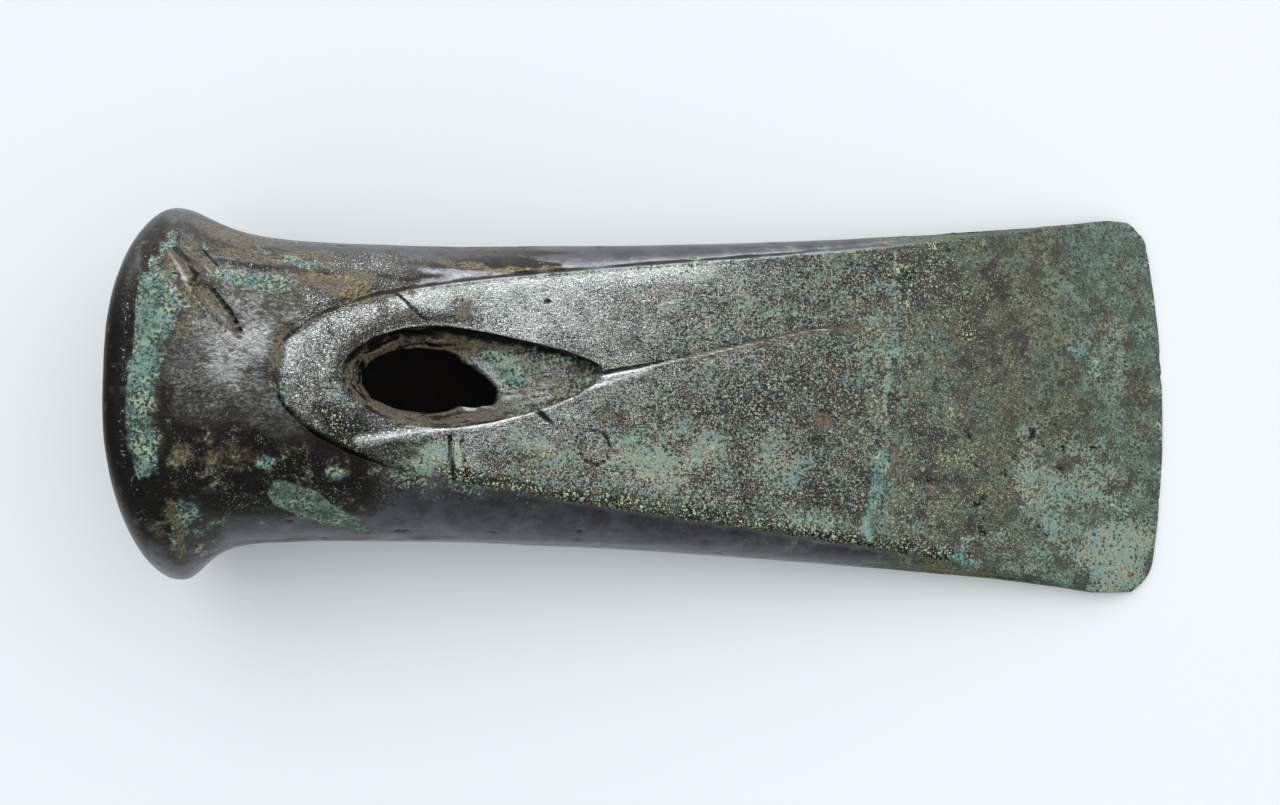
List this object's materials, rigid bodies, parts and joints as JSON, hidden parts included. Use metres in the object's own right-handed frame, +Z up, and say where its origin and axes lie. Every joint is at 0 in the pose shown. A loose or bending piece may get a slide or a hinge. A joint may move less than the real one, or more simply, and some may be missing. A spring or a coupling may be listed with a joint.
{
  "type": "bronze age socketed axe head",
  "caption": "Cast bronze socketed axe head, lying flat: rolled collar, round neck, arched flat faces, widening blade, and a worn hole through a face into the socket.",
  "frame": {"origin": "middle of the floor box, on the ground under the axe head", "axes": "+X from the mouth of the socket to the cutting edge, +Y across the blade, +Z up from the ground"},
  "size_m": [0.1094, 0.0414, 0.0329],
  "materials": {
    "bronze": "worn, patinated bronze: dark grey-brown metal with a soft shine, with green crust and pale specks over the blade"
  },
  "bodies": {
    "root": {"axe_head": "bronze"}
  },
  "joints": []
}
